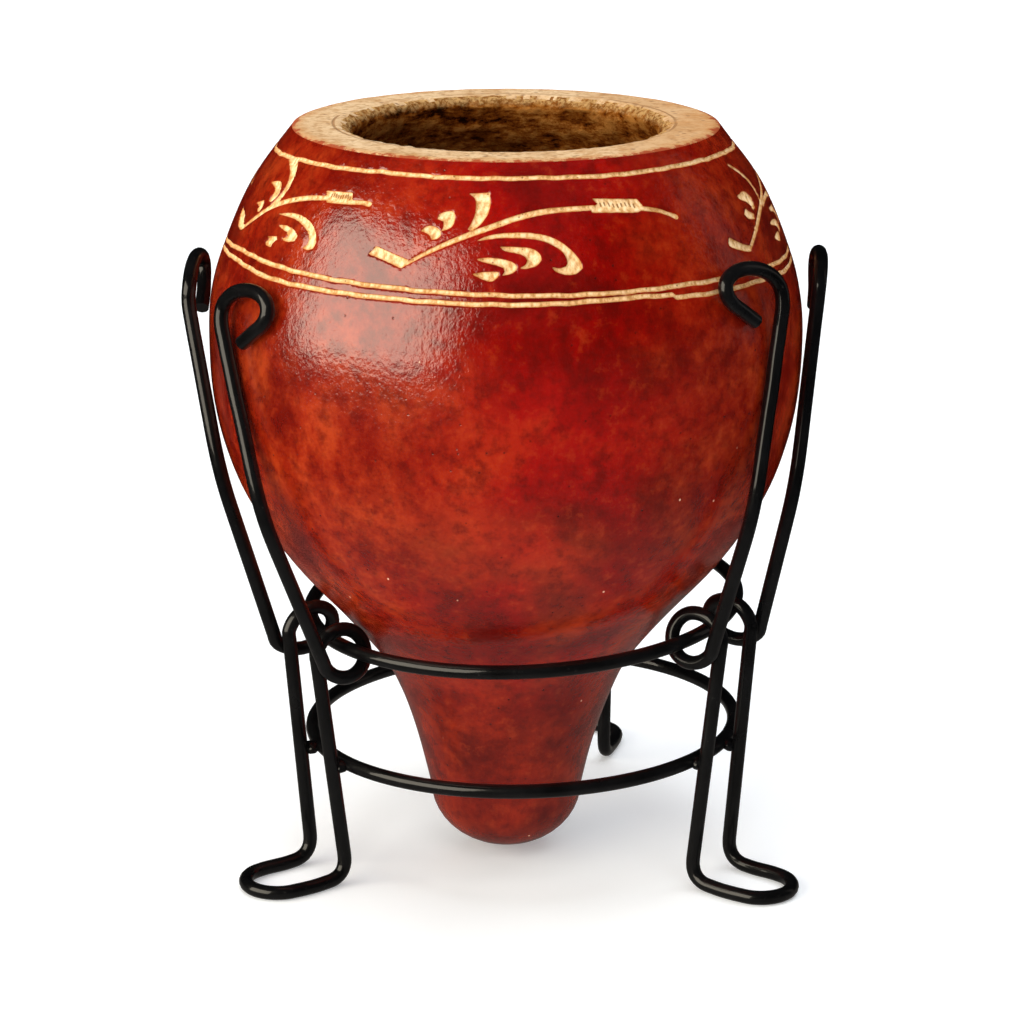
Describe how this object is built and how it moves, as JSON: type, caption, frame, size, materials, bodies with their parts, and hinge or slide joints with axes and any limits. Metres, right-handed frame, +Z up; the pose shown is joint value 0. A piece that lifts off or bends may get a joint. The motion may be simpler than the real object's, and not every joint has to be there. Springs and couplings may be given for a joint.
{
  "type": "mate gourd cup in a wire stand",
  "caption": "Empty red lacquered mate gourd cup with a carved vine band and an open cut rim, resting in a black bent-wire stand.",
  "frame": {"origin": "middle of the footprint, on the table", "axes": "+Z up along the gourd, -Y towards the side the picture shows, +X to the right in the picture"},
  "size_m": [0.098, 0.0988, 0.1174],
  "materials": {
    "red_lacquered_gourd": "gloss",
    "black_enamel_wire": "gloss"
  },
  "bodies": {
    "root": {"gourd": "red_lacquered_gourd", "ring_upper": "black_enamel_wire", "ring_lower": "black_enamel_wire", "leg_left": "black_enamel_wire", "leg_right": "black_enamel_wire", "leg_back": "black_enamel_wire"}
  },
  "joints": []
}
